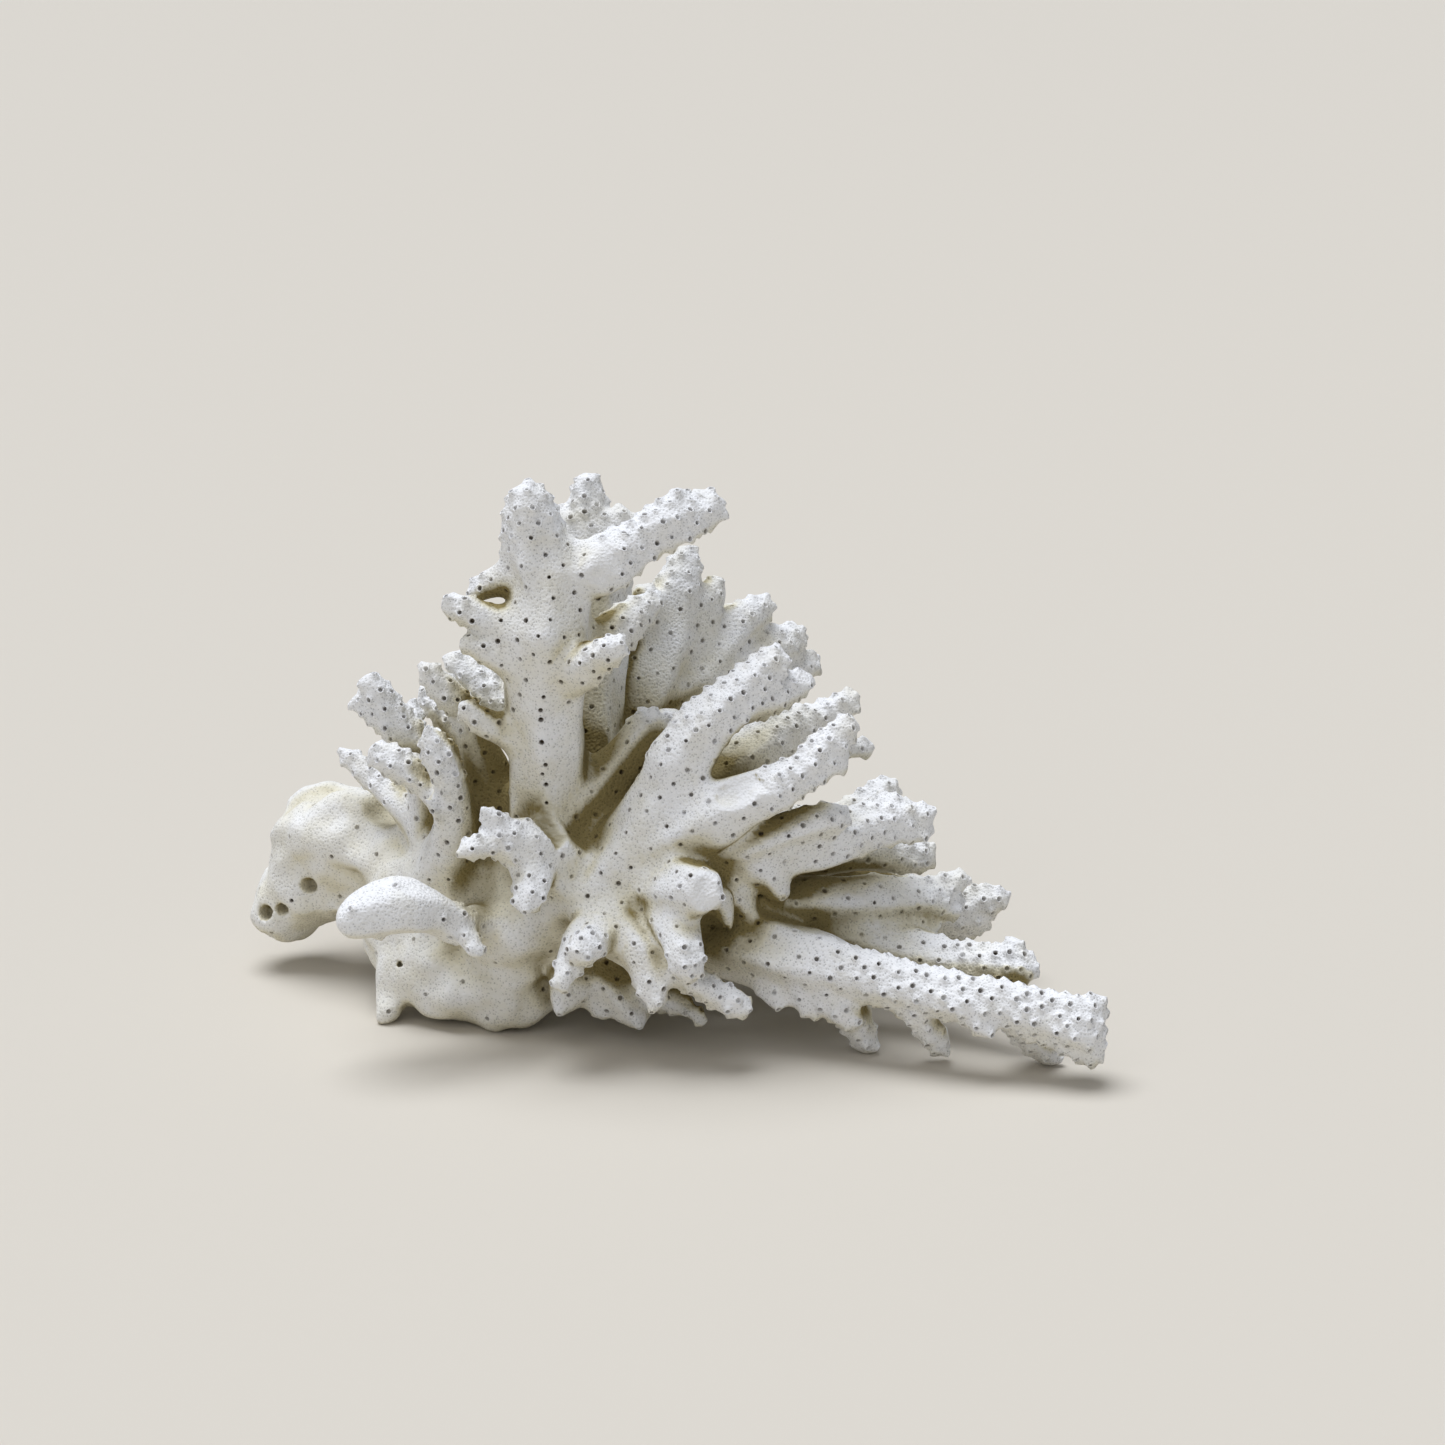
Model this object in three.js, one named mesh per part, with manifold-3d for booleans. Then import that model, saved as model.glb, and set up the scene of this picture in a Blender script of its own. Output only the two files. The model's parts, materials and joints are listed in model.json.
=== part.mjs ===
// Branching coral: a bleached skeleton of a small, bushy reef coral, lying loose on a table.
// Millimetres, +X right, +Y away from the viewer, +Z up from the table top.
//
// Every limb and prong is a shoot: a round rod that bends through a few stations and ends in a
// round tip. A branch is one limb with the prongs that leave it. The branches part at the forks.

import * as THREE from 'three';
import { mergeVertices } from 'three/addons/utils/BufferGeometryUtils.js';
import Module from 'manifold-3d';

const wasm = await Module();
wasm.setup();

// Driving dimensions
const FORK_GAP = 0.3; // clear space between two branches at a fork
const ROW_SPACING = 12; // length of a limb between two rings of facets
const LEAST_SIDES = 3; // facets around the thinnest shoot
const SIDES_PER_MM = 0.41; // more facets for each millimetre of the root's radius
const CAP_ROWS = 2; // rings of facets in a rounded tip
const PRONG_ROOT_SHARE = 0.7; // a prong's thickness where it starts, against its limb's
const TABLE_DEPTH = 40; // how far below the table top the flat cut clears

const bleached = { color: 0xf1eee6, roughness: 0.88, metalness: 0 };
const cream = { color: 0xe2d9bf, roughness: 0.9, metalness: 0 };
const aged = { color: 0xd0c3a2, roughness: 0.92, metalness: 0 };

// A station is [x, y, z, radius]. A prong starts with its place along the limb, from 0 at the root
// to 1 at the tip, and goes on with the stations that it reaches. A branch is trimmed where it
// meets a branch listed before it.
const branches = [
  {
    name: 'base_stem',
    look: aged,
    limb: [
      [-62.5, 30, 23, 8], [-54, 26, 20, 8], [-45, 18, 17, 8],
      [-35, 10, 17, 8.5], [-24, 4, 19.5, 8.5], [-16, 0, 22, 7.5],
    ],
    prongs: [
      [0.03, [-69, 31, 9.5, 6.2]],
      [0.12, [-55, 28, 24.5, 5.5]],
      [0.15, [-61, 29, 12.5, 6]],
      [0.35, [-49, 9, 8, 6], [-50, 5, 2, 2.7]],
      [0.5, [-42, 7, 6.5, 6.3]],
      [0.62, [-32, 3, 5.5, 6.8]],
      [0.74, [-30.5, 0.5, 15.5, 6]],
      [0.9, [-18, 4, 11.5, 5]],
    ],
  },
  {
    name: 'crown_trunk',
    look: cream,
    limb: [
      [-24, 6, 24, 8.5], [-25, 4, 34, 6], [-26, 1, 45, 5.5], [-26, 0, 52, 5.5],
      [-25.5, -1, 60, 6.5], [-24.5, -1, 67, 6.5], [-24, 0, 70, 5.5],
    ],
    prongs: [
      [0.78, [-34, -3, 64.5, 2.2], [-38.5, -4, 66, 1.5]],
      [0.66, [-32.5, -3, 59, 2.1], [-36.5, -5, 61, 1.5]],
      [0.95, [-31, 1, 70, 3], [-35, 2, 67, 1.5]],
      [0.68, [-17.5, -8, 59, 2.5], [-15.5, -11, 61.5, 1.6]],
      [0.7, [-13.5, 7, 61, 2.6], [-9.5, 9, 64.5, 1.6]],
      [0.4, [-34, -2, 48.5, 2.1], [-37.5, -4, 51.5, 1.6]],
    ],
  },
  {
    name: 'crown_horn',
    look: bleached,
    limb: [[-26, 0, 69, 6], [-27, -1, 75.5, 4.2], [-27, -2, 80, 3]],
    prongs: [],
  },
  {
    name: 'crown_arm',
    look: bleached,
    limb: [[-19, -1, 70.5, 4], [-11.5, 0, 75, 3.2], [-5.5, 3, 78, 3], [-2.5, 4, 78.5, 2.4]],
    prongs: [
      [0.6, [-6, 2, 81.5, 1.3]],
    ],
  },
  {
    name: 'trunk_finger',
    look: bleached,
    limb: [[-22, 2, 32, 4.5], [-16, 4, 39, 3.6], [-11, 6, 45.5, 2.8]],
    prongs: [],
  },
  {
    name: 'broken_fork',
    look: bleached,
    limb: [[-21.5, -1, 25.5, 5.5], [-27, -6, 31, 4], [-31, -10, 33.5, 3.2]],
    prongs: [
      [0.8, [-33, -11, 36.5, 2.2], [-34.5, -12, 39, 1.6]],
      [1, [-36, -14, 33, 1.5]],
      [0.55, [-28, -13, 25.5, 2]],
    ],
  },
  {
    name: 'left_limb',
    look: cream,
    limb: [[-38, 12, 20, 7], [-34, 10, 33, 4.2], [-36, 9, 42, 3], [-39, 6, 51, 2], [-43.5, 4, 55, 1.5]],
    prongs: [
      [0.42, [-42, 20, 43.5, 1.9], [-44.5, 21, 46.5, 1.2]],
    ],
  },
  {
    name: 'left_spray',
    look: bleached,
    limb: [
      [-41.5, 10, 20, 6.5], [-39, 3, 31.5, 3.2], [-39, 0, 37.5, 2.6],
      [-41, -2, 43.5, 2.1], [-42.5, -4, 47.5, 1.4],
    ],
    prongs: [
      [0.45, [-44.5, 3, 39, 2.2], [-50, 2, 42.5, 1.6]],
      [0.45, [-43.5, -3, 37, 1.1]],
    ],
  },
  {
    name: 'left_fork',
    look: bleached,
    limb: [[-43, 16, 22, 5.5], [-44, 13, 33, 3.2], [-47.5, 10, 44.5, 2.5], [-51.5, 8, 51.5, 1.8]],
    prongs: [
      [0.72, [-54, 9, 48.5, 1.2]],
      [0.62, [-46.5, 15, 46, 1]],
      [0.2, [-53.5, 20, 33.5, 2], [-57.5, 22, 36.5, 1.5]],
    ],
  },
  {
    name: 'front_club',
    look: bleached,
    limb: [
      [-37, 3, 16, 4], [-36.5, -6, 18.5, 3.2], [-40, -9, 21, 2.7],
      [-44, -12, 23.5, 3.6], [-49.5, -14, 24, 4.2], [-52, -15, 23, 3.5],
    ],
    prongs: [
      [0.4, [-35.5, -12, 17, 1.7]],
      [0.5, [-40, -9, 16.5, 1]],
    ],
  },
  {
    name: 'right_limb',
    look: cream,
    limb: [[-18, 0, 21, 8], [-11.5, -2, 29, 7], [-7, -4, 37.5, 5.7]],
    prongs: [],
  },
  {
    name: 'right_upper_finger',
    look: bleached,
    limb: [[-9.5, -4, 35, 5.4], [-5.5, -5, 45.5, 4.3], [0.5, -4, 51.5, 3.5], [7, -2, 57.5, 2.2]],
    prongs: [
      [0.6, [7.5, -1, 52.5, 2.3], [11.5, 0, 54, 1.6]],
    ],
  },
  {
    name: 'right_middle_finger',
    look: cream,
    limb: [[-7.5, 2, 33.5, 5], [5.5, 7, 42, 3.9], [13.5, 9, 46.5, 3.1], [18, 10, 48, 2]],
    prongs: [
      [0.6, [17.5, 12, 40, 2.1], [21.5, 13, 40.5, 1.4]],
    ],
  },
  {
    name: 'right_front_finger',
    look: bleached,
    limb: [
      [-8, -6, 32, 5], [2.5, -9, 38, 3.5], [10.5, -8, 42, 3.2],
      [16.5, -5, 46.5, 2.7], [17.5, -5, 48.5, 2],
    ],
    prongs: [
      [0.68, [17, -7, 43.5, 1.2]],
    ],
  },
  {
    name: 'right_low_finger',
    look: bleached,
    limb: [
      [-10.5, -3, 26, 6], [-0.5, -4, 29, 4.5], [7.5, -3, 29.5, 4.2],
      [16, 0, 30.5, 3.8], [25, 3, 32.5, 3.6],
    ],
    prongs: [
      [0.25, [7, -6, 32.5, 2.7], [16, -4.5, 35, 2]],
      [0.95, [24, 4, 35.5, 1.5]],
      [0.97, [30, 3, 33, 1.5]],
      [0.93, [29.5, 2, 30.5, 1.5]],
      [0.28, [3, -5, 22, 2.2]],
      [0.42, [8, -4, 24, 2.2]],
    ],
  },
  {
    name: 'front_stub',
    look: bleached,
    limb: [[-9, -4, 24, 6], [-4, -14, 27, 3.9]],
    prongs: [
      [0.6, [0, -9, 23.5, 2.2], [1.5, -8, 18.5, 1.1]],
    ],
  },
  {
    name: 'front_knob',
    look: bleached,
    limb: [[-9.5, -4, 21, 5], [-6, -13.5, 22.5, 3.8], [-5.5, -16.5, 18.5, 3.2]],
    prongs: [],
  },
  {
    name: 'front_prongs',
    look: bleached,
    limb: [[-18, -2, 20.5, 6.5], [-12, -10, 18, 4.4], [-10, -14, 14, 2.9], [-9.5, -15, 10.5, 1.5]],
    prongs: [
      [0.25, [-19.5, -17, 19, 2.1]],
      [0.2, [-23, -15, 17, 1.9], [-23, -17, 14, 1.4]],
      [0.6, [-3, -13, 12.5, 2.4], [2, -15, 10, 1.6]],
    ],
  },
  {
    name: 'under_prongs',
    look: cream,
    limb: [[-19.5, 4, 14, 5.5], [-21, 0, 10.5, 4], [-23, -4, 8, 2.6], [-24.5, -6, 4.5, 1.8]],
    prongs: [
      [0.25, [-14.5, -3, 7, 2.8], [-12.5, -5, 4, 1.8]],
      [0.35, [-18, -3, 4, 1.2]],
      [0.15, [-7.5, -3, 6, 2.4], [-3, -5, 4, 1.6]],
    ],
  },
  {
    name: 'right_arm',
    look: cream,
    limb: [
      [-9, 0, 20, 6], [2.5, 0, 21, 4.5], [11.5, 2, 19.5, 3.7],
      [22, 5, 19, 3.5], [30, 6.5, 19, 3.5],
    ],
    prongs: [
      [0.95, [35, 7.5, 21.5, 1.6]],
      [0.95, [34, 7, 17.5, 1.6]],
      [0.88, [30, 4.5, 15, 1.5]],
    ],
  },
  {
    name: 'low_arm',
    look: bleached,
    limb: [
      [-10, 3, 16.5, 6], [4, -3, 15, 5.4], [15.5, -10, 14, 4], [27, -14, 12, 3.4],
      [38, -17, 11.5, 3.2], [46, -19, 10, 3.4], [50, -19.5, 8.5, 4],
    ],
    prongs: [
      [1, [52.5, -19, 11, 2]],
      [1, [52, -20, 6, 2.2]],
      [0.35, [17, -10, 9, 2.7], [19, -12, 7, 1.8]],
      [0.42, [20, -8, 4, 2], [21.5, -8, 1, 1.5]],
      [0.58, [30, -13, 5.5, 2.4], [31.5, -12, 2.5, 1.7]],
      [0.75, [37.5, -19, 8.5, 1.8]],
      [0.82, [46, -13, 3.5, 2.1], [47.5, -13, 1, 1.6]],
      [0.24, [8, -8, 8, 1.3]],
      [0.3, [12.5, -9, 7.5, 1.3]],
    ],
  },
  {
    name: 'low_arm_ridge',
    look: cream,
    limb: [
      [5.5, 4, 14.5, 5], [17.5, 4, 13, 4.3], [29.5, 1, 12, 3.6], [38, -5.5, 12, 3], [43, -7.5, 13, 2.5],
    ],
    prongs: [
      [0.94, [42, -7, 16, 1.5]],
    ],
  },
  {
    name: 'back_crown',
    look: cream,
    limb: [
      [-22, 14, 27.5, 6], [-21, 18, 44, 5.5], [-20, 21, 58, 6],
      [-20.5, 22, 68, 6.4], [-20, 22, 78, 2.3],
    ],
    prongs: [
      [0.82, [-15.5, 20, 74, 2]],
      [0.76, [-12.5, 19, 73, 1.8]],
      [0.8, [-24.5, 21, 73, 2.4]],
      [0.3, [-33, 23, 44.5, 3], [-40.5, 25, 50.5, 2]],
    ],
  },
  {
    name: 'back_fan',
    look: cream,
    limb: [[-32, 18, 24, 8.5], [-20, 28, 36, 7.5], [-11, 35, 50, 6.5], [-5.5, 38, 64, 2.3]],
    prongs: [
      [0.7, [-3, 40, 55, 4.2], [-1.5, 41, 59, 2.4]],
      [0.5, [-3, 41, 48, 5.5], [5.5, 45, 54.5, 2.4]],
      [0.6, [5, 45, 46, 4.5], [11, 48, 49, 2.4]],
      [0.4, [1, 42, 40, 5], [13, 50, 44, 2.4]],
      [0.7, [-12, 32, 59, 2.4]],
      [0.75, [-15, 30, 57, 2.4]],
    ],
  },
  {
    name: 'back_fingers',
    look: cream,
    limb: [[-28, 14, 24, 7], [-16, 18, 34, 4.5], [-9, 20, 42, 3]],
    prongs: [
      [0.5, [-6, 24, 38, 3.5], [2, 26, 44, 2.1]],
    ],
  },
  {
    name: 'right_rear_finger',
    look: cream,
    limb: [[-20, 12, 20, 7], [4, 16, 25, 5.5], [22, 18, 24, 4.5], [30, 19, 22, 2.8]],
    prongs: [
      [0.7, [24, 22, 31, 2.4]],
    ],
  },
  {
    name: 'rear_right_arm',
    look: cream,
    limb: [[-26, 16, 16, 8], [0, 22, 16, 6], [24, 25, 13, 5], [38, 26, 10, 4]],
    prongs: [
      [0.88, [36, 30, 2, 2.3]],
      [0.93, [42, 24, 13, 2.4]],
      [0.72, [26, 33, 17, 2.2]],
    ],
  },
  {
    name: 'rear_low_arm',
    look: cream,
    limb: [[-34, 26, 14, 8.5], [-14, 40, 16, 6.5], [6, 53, 13, 4.8], [20, 65, 8, 2.8]],
    prongs: [
      [0.65, [14, 54, 1.5, 2.4]],
      [0.5, [0, 59, 9, 2.4]],
      [0.72, [20, 56, 15, 2.3]],
    ],
  },
  {
    name: 'rear_arm',
    look: cream,
    limb: [[-38, 28, 20, 8.5], [-28, 45, 24, 6], [-18, 57, 31, 4.6], [-15, 65, 40, 2.6]],
    prongs: [
      [0.55, [-31, 60, 35, 2.4]],
      [0.7, [-8, 63, 37, 2.3]],
      [0.45, [-16, 56, 22, 2.4]],
    ],
  },
  {
    name: 'rear_left_limb',
    look: cream,
    limb: [[-50, 32, 20, 8], [-50, 44, 23, 5.8], [-46, 53, 28, 4.3], [-41, 57, 35, 2.4]],
    prongs: [
      [0.55, [-57, 57, 22, 2.3]],
      [0.45, [-39, 50, 31, 2.5]],
    ],
  },
  {
    name: 'rear_foot',
    look: aged,
    limb: [[-44, 30, 16, 9], [-42, 46, 12, 6.3], [-36, 58, 7, 4.2], [-33, 64, 1, 2.8]],
    prongs: [
      [0.5, [-53, 57, 9, 2.6]],
      [0.65, [-25, 57, 9, 2.4]],
    ],
  },
];

// The path of a shoot, with the radius at any share of its length.
function shootPath(stations) {
  const points = stations.map(([x, y, z]) => new THREE.Vector3(x, y, z));
  const curve = new THREE.CatmullRomCurve3(points, false, 'centripetal');
  const radiusAt = (share) => {
    const place = curve.getUtoTmapping(share) * (stations.length - 1);
    const before = Math.min(Math.floor(place), stations.length - 2);
    return THREE.MathUtils.lerp(stations[before][3], stations[before + 1][3], place - before);
  };
  return { curve, radiusAt };
}

function toSolid(geometry) {
  geometry.deleteAttribute('normal');
  geometry.deleteAttribute('uv');
  const merged = mergeVertices(geometry, 1e-4);
  const index = merged.getIndex().array;
  const triangles = [];
  for (let i = 0; i < index.length; i += 3) {
    const [a, b, c] = index.slice(i, i + 3);
    if (a !== b && b !== c && c !== a) triangles.push(a, b, c);
  }
  return new wasm.Manifold(new wasm.Mesh({
    numProp: 3,
    vertProperties: new Float32Array(merged.getAttribute('position').array),
    triVerts: new Uint32Array(triangles),
  }));
}

// A straight capsule whose rings are carried along the path and swell or shrink with it. Its facets
// stand out far enough for the shoot to be as thick as a round one.
function shootSolid({ curve, radiusAt }, swell) {
  const rows = Math.max(curve.points.length - 1, Math.round(curve.getLength() / ROW_SPACING));
  const sides = Math.round(LEAST_SIDES + SIDES_PER_MM * radiusAt(0));
  const corner = (2 * Math.PI) / sides;
  const fullness = Math.sqrt(corner / Math.sin(corner));
  const frames = curve.computeFrenetFrames(rows);
  const geometry = new THREE.CapsuleGeometry(1, rows, CAP_ROWS, sides, rows);
  const positions = geometry.getAttribute('position');
  const vertex = new THREE.Vector3();
  const point = new THREE.Vector3();
  for (let i = 0; i < positions.count; i += 1) {
    vertex.fromBufferAttribute(positions, i);
    const height = vertex.y + rows / 2;
    const along = THREE.MathUtils.clamp(height, 0, rows);
    const row = Math.round(along);
    const radius = radiusAt(row / rows) * fullness + swell;
    curve.getPointAt(row / rows, point);
    point.addScaledVector(frames.tangents[row], (height - along) * radius);
    point.addScaledVector(frames.binormals[row], vertex.x * radius);
    point.addScaledVector(frames.normals[row], vertex.z * radius);
    positions.setXYZ(i, point.x, point.y, point.z);
  }
  return toSolid(geometry);
}

// One limb joined with its prongs, each rooted on the limb's middle line.
function branchSolid({ limb, prongs }, swell) {
  const limbPath = shootPath(limb);
  let solid = shootSolid(limbPath, swell);
  for (const [place, ...stations] of prongs) {
    const root = limbPath.curve.getPointAt(place);
    const rootRadius = limbPath.radiusAt(place) * PRONG_ROOT_SHARE;
    const path = shootPath([[root.x, root.y, root.z, rootRadius], ...stations]);
    solid = solid.add(shootSolid(path, swell));
  }
  return solid;
}

// The coral is cut off flat where it meets the table.
function tableSolid() {
  const width = 400;
  const geometry = new THREE.BoxGeometry(width, width, TABLE_DEPTH);
  geometry.translate(0, 0, -TABLE_DEPTH / 2);
  return toSolid(geometry);
}

function largestBody(solid) {
  return solid.decompose().reduce((best, body) => (body.volume() > best.volume() ? body : best));
}

function toMesh(solid, { name, look }) {
  const { vertProperties, triVerts } = solid.getMesh();
  const geometry = new THREE.BufferGeometry();
  geometry.setAttribute('position', new THREE.BufferAttribute(vertProperties, 3));
  geometry.setIndex(new THREE.BufferAttribute(triVerts, 1));
  geometry.computeVertexNormals();
  const mesh = new THREE.Mesh(geometry, new THREE.MeshStandardMaterial(look));
  mesh.name = name;
  return mesh;
}

// The origin is on the table top, under the middle of the coral.
function buildCoral() {
  const coral = new THREE.Group();
  let taken = tableSolid();
  for (const branch of branches) {
    const solid = largestBody(branchSolid(branch, 0).subtract(taken));
    coral.add(toMesh(solid, branch));
    taken = taken.add(branchSolid(branch, FORK_GAP));
  }
  const box = new THREE.Box3().setFromObject(coral);
  const middle = box.getCenter(new THREE.Vector3());
  coral.position.set(-middle.x, -middle.y, -box.min.z);
  return coral;
}

export default buildCoral();
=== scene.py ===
"""Branching coral: the look of a bleached, bushy reef coral that lies loose on a table.

The branches of the frame are fused into one grown surface, roughened, chipped and pierced with the
small cups that the polyps lived in. The surface is then parted again, one piece for each branch.
"""

import json
import math

import bpy
import numpy as np
import openvdb
from bpy.props import FloatProperty, FloatVectorProperty, IntProperty, PointerProperty
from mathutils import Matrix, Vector


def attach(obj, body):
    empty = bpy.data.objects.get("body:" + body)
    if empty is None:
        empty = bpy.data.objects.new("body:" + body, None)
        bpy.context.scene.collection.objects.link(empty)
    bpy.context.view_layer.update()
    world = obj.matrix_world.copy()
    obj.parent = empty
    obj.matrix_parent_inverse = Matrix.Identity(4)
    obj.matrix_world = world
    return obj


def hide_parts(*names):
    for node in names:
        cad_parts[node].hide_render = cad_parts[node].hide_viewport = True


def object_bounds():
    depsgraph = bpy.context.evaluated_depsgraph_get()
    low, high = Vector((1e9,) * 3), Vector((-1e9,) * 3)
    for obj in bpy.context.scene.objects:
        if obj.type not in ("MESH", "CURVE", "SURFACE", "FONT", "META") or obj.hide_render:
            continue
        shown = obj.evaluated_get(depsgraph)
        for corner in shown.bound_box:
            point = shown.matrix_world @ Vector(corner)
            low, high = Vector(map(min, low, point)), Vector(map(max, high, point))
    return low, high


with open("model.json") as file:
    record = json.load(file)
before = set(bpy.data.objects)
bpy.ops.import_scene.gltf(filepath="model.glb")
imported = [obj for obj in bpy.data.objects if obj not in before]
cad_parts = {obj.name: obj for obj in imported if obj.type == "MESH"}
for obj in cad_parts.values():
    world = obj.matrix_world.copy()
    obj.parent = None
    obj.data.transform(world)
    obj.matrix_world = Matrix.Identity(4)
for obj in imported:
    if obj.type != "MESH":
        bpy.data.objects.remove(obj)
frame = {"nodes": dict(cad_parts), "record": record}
CAD_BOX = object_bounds()

bl_info = {
    "name": "Branching Coral",
    "version": (1, 0, 0),
    "blender": (4, 5, 0),
    "location": "View3D > Sidebar > Coral",
    "description": "Grows a bleached branching coral over its frame and sets it on a pale stage",
    "category": "Object",
}

MM = 0.001
COLLAR_DEPTH = 1.2 * MM  # how far the hidden end of a piece first dips under the surface
END_SHARE = 0.7  # how far the end then reaches past its rim, against the rim's radius

# Where the limbs spread from, in metres: the cups lean away from here, towards the finger tips.
HUB = np.array((-6, -20, 20)) * MM

# Broken faces: the branches that broke, a point on the face, the way it faces and its radius.
BREAKS = (
    (("right_front_finger",), (12.5, -33.0, 40.0), (-0.2, -0.72, 0.66), 5.2),
    (("broken_fork",), (-14.2, -27.0, 32.4), (0.0, -0.35, 0.94), 4.8),
    (("front_stub",), (6.6, -39.0, 27.3), (0.15, -0.97, 0.1), 4.6),
    (("crown_arm", "crown_trunk", "crown_horn"), (-10.4, -26.4, 72.5), (0.35, -0.9, 0.25), 4.8),
)
BREAK_DISH = 1.0 * MM  # how far a broken face curves up towards its edge
BREAK_CLEARANCE = 3.0 * MM  # how far a break keeps off the branches that didn't break

# Holes that worms bored into the old base: the middle of each mouth and its radius.
WORM_HOLES = (
    ((-61.0, 5.0, 10.0), 1.3),
    ((-58.5, 3.5, 11.0), 1.1),
    ((-54.5, 1.0, 15.5), 1.4),
    ((-61.0, 5.5, 6.0), 1.0),
    ((-36.0, -16.5, 9.0), 0.9),
)

# Places worn smooth, where few cups are left: the middle and the reach of each.
WORN_PLACES = (
    ((-37.0, -35.0, 23.5), 10.0),
    ((-15.5, -25.0, 43.0), 9.0),
)

SHADOWED_BRANCH = "crown_trunk"  # the branch that stands in shade, whose cups get the darkest painted shade

# The upright row of cups on the front of the crown trunk: its lowest cup, seen from the front.
TRUNK_ROW_LOW = np.array((-15.7, 37.0)) * MM
TRUNK_ROW_SPACING = 1.75 * MM
TRUNK_ROW_COUNT = 10
TRUNK_ROW_SWAY = 0.35 * MM  # how far a cup of the row stands to one side

# The grown surface.
LATTICE_MARGIN = 3 * MM  # room kept around the coral
NEAR_SPREAD = 2 * MM  # size of the close surroundings of a place
WIDE_SPREAD = 5 * MM  # size of its wider surroundings
FINISH_SPREAD = 3 * MM  # how slowly one finish turns into another
NEAR_LOOK = 3.5 * MM  # how far off the surface the close surroundings are felt
WIDE_LOOK = 8 * MM  # how far off the surface the wider surroundings are felt
COARSE_STEPS = 1.3 * MM  # width of the coarse steps on a broken face
FINE_STEPS = 0.6 * MM  # width of the fine steps on a broken face
HOLE_DEPTHS = (0.0, 0.8, 1.6)  # depths along a worm hole, against its radius
HOLE_TAPER = 0.2  # how fast a worm hole narrows with that depth

# The cups. A pair gives the start and the end of a change, or the least and the most of a size.
TIP_CROWDING = (0.15, 0.33)  # share of skeleton around a tip, and around a limb
WORN_FINISH = (0.2, 0.8)  # share of the worn finish where cups begin to be rare, and are rarest
SPACING_CHANGE = (0.9, 1.25)
MOUND_CHANGE = (0.6, 1.2)
CUP_CHANGE = (0.75, 1.15)
PIT_DARKNESS_CHANGE = (0.15, 0.75)
SHADOWED_BRANCH_SHADE = 0.25  # painted shade that the cups of the shadowed branch get on top
CUP_BREAK_GAP = 0.5 * MM  # distance that the cups keep from a broken face
CUP_TABLE_GAP = 1.0 * MM  # height over the table where the cups begin
FLATTEST_RIM = 0.5  # how far the surface may bend away within a cup, as a cosine

# The staining and the painted light and shade: what a place begins with, and what each of its
# surroundings adds. Open tips take some painted light; undersides and recesses closed in by other
# limbs take painted shade.
STAIN_START = 0.08
# Open tips are cleaner and take some painted light, so they come out lighter.
TIP_CLEAN_AND_LIT = -0.06
STAIN_CREAM = 0.08
STAIN_AGED = 0.14
# Painted shade on surfaces that face down.
UNDERSIDE_SHADE = 0.3
# Painted shade in recesses: the crowding where it begins and where it is full.
RECESS_SHADE_CROWDING = (0.1, 0.6)
AGED_SHARE = 0.55  # how much of the painted shade in recesses the old base goes without
FRESH_EDGE = (0.3 * MM, 0.7 * MM)  # where the clean look of a break fades out

# The finishes: slot, name and height of the grain.
FINISHES = (
    ("bleached_skeleton", "Bleached coral skeleton", 0.14 * MM),
    ("cream_skeleton", "Cream coral skeleton", 0.14 * MM),
    ("aged_skeleton", "Worn coral skeleton", 0.1 * MM),
)

# The stage: lamps with their direction, strength, spread in degrees and colour, and the camera.
LAMPS = (
    ("overhead_softbox", (0.2, -0.1, -1.0), 2.8, 40, "F6F9FF"),
    ("front_softbox", (0.25, 0.8, -0.7), 0.55, 60, "FDFCFF"),
)
ROOM_COLOUR = "EEF1F5"
ROOM_STRENGTH = 0.28
FLOOR_HALF = 12.0
CAMERA_PLACE = (0.0101, -0.4567, 0.1644)
CAMERA_TILT = math.radians(75)
CAMERA_LENS = 77.36
CAMERA_SENSOR = 36.0


def linear(hex_colour):
    """Linear RGBA of an sRGB hex colour."""
    channels = [int(hex_colour[i:i + 2], 16) / 255 for i in (0, 2, 4)]
    return [c / 12.92 if c <= 0.04045 else ((c + 0.055) / 1.055) ** 2.4 for c in channels] + [1.0]


def colour_property(name, hex_colour, description):
    return FloatVectorProperty(
        name=name, description=description, subtype="COLOR", size=4, min=0, max=1,
        default=linear(hex_colour),
    )


def length_property(name, millimetres, description):
    return FloatProperty(
        name=name, description=description, subtype="DISTANCE", unit="LENGTH", precision=5, min=0,
        default=millimetres * MM,
    )


class CoralForm(bpy.types.PropertyGroup):
    """Sizes of the grown surface."""

    step: length_property("Step", 0.5, "Distance between two samples of the grown surface")
    fillet: length_property("Fork fillet", 1.1, "How far two branches flow into each other")
    softness: length_property("Softness", 0.9, "Spread of the rounding of edges and creases")
    wear: length_property("Wear", 1.6, "Spread of the rounding of the old base")
    growth: length_property("Growth", 0.15, "Thickness added all over after the rounding")
    swelling: length_property("Swelling", 0.28, "Height of the wide lumps on the limbs")
    swelling_width: length_property("Swelling width", 2.4, "Spread of the wide lumps")
    knobbliness: length_property("Knobbliness", 0.75, "Height of the lumps on the old base")
    knob_width: length_property("Knob width", 2.6, "Spread of the lumps on the old base")
    crust: length_property("Crust", 0.3, "Height of the small lumps on the old base")
    crust_width: length_property("Crust width", 1.0, "Spread of the small lumps on the old base")
    roughness: length_property("Break roughness", 0.5, "Height of the steps on a broken face")
    seed: IntProperty(name="Seed", description="Start of the random lumps and cups", default=7, min=0)


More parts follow.
